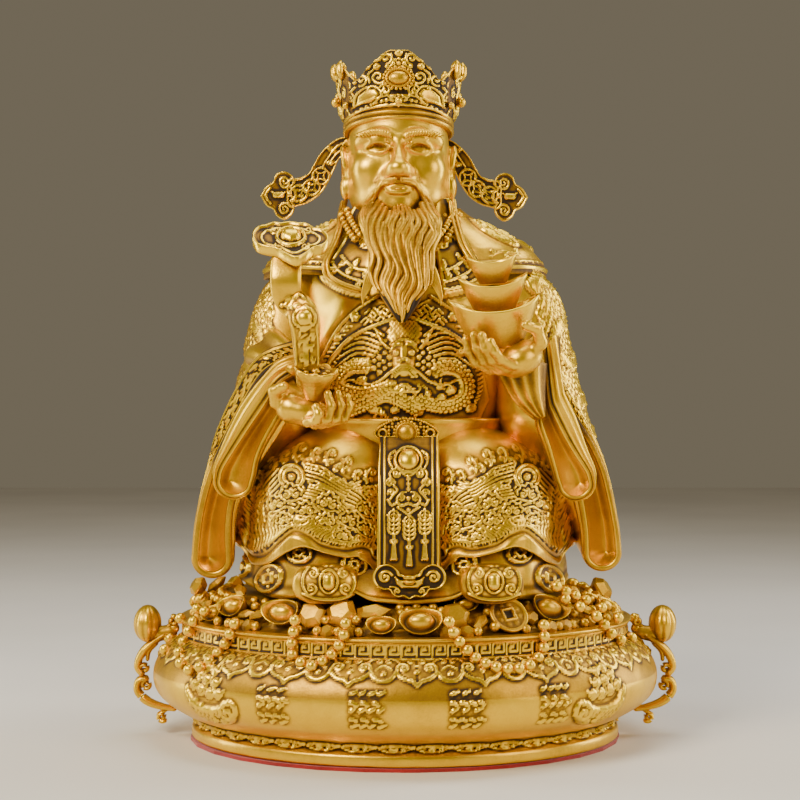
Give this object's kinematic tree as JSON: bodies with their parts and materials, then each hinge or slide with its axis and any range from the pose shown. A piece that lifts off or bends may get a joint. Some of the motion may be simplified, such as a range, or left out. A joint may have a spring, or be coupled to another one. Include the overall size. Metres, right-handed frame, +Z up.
{
  "type": "caishen figure",
  "caption": "Seated caishen figure of cast brass, holding a ruyi sceptre and a stack of ingots, on an oval treasure bowl with pearl strings and scroll handles.",
  "frame": {"origin": "centre of the felt pad's underside, on the shelf, under the middle of the bowl", "axes": "+Z up, -Y towards the viewer who faces the figure, +X towards the figure's left hand"},
  "size_m": [0.3334, 0.2624, 0.4144],
  "materials": {
    "brass": "satin antique brass with dark patina in the recesses",
    "felt": "matte red felt"
  },
  "bodies": {
    "root": {"seated_figure": "brass", "hat_wing_left": "brass", "hat_wing_right": "brass", "ruyi_sceptre": "brass", "ingot_stack": "brass", "treasure_bowl": "brass", "felt_pad": "felt"}
  },
  "joints": []
}
